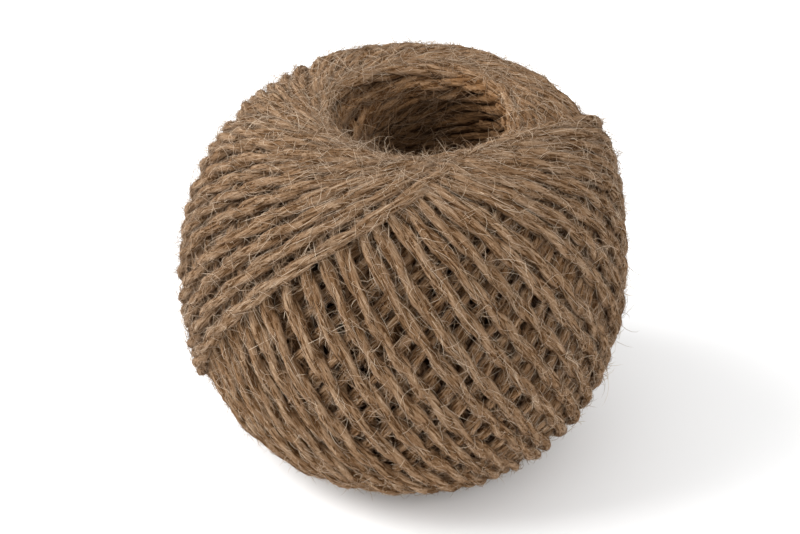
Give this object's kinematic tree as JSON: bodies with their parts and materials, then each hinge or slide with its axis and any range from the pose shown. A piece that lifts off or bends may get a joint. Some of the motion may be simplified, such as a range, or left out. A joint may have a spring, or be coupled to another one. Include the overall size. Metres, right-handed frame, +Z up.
{
  "type": "ball of twine",
  "caption": "Machine-wound ball of natural jute twine, slightly flattened, with a hole through it from rim to rim where the winding spindle was.",
  "frame": {"origin": "centre of the foot, at the height of the surface that the ball's lower rim stands on", "axes": "+Z up along the axis of the hole that the winding spindle left; the ball is round about it"},
  "size_m": [0.08, 0.08, 0.069],
  "materials": {
    "jute": "matte, hairy natural jute fibre, plied and undyed"
  },
  "bodies": {
    "root": {"twine_winding": "jute"}
  },
  "joints": []
}
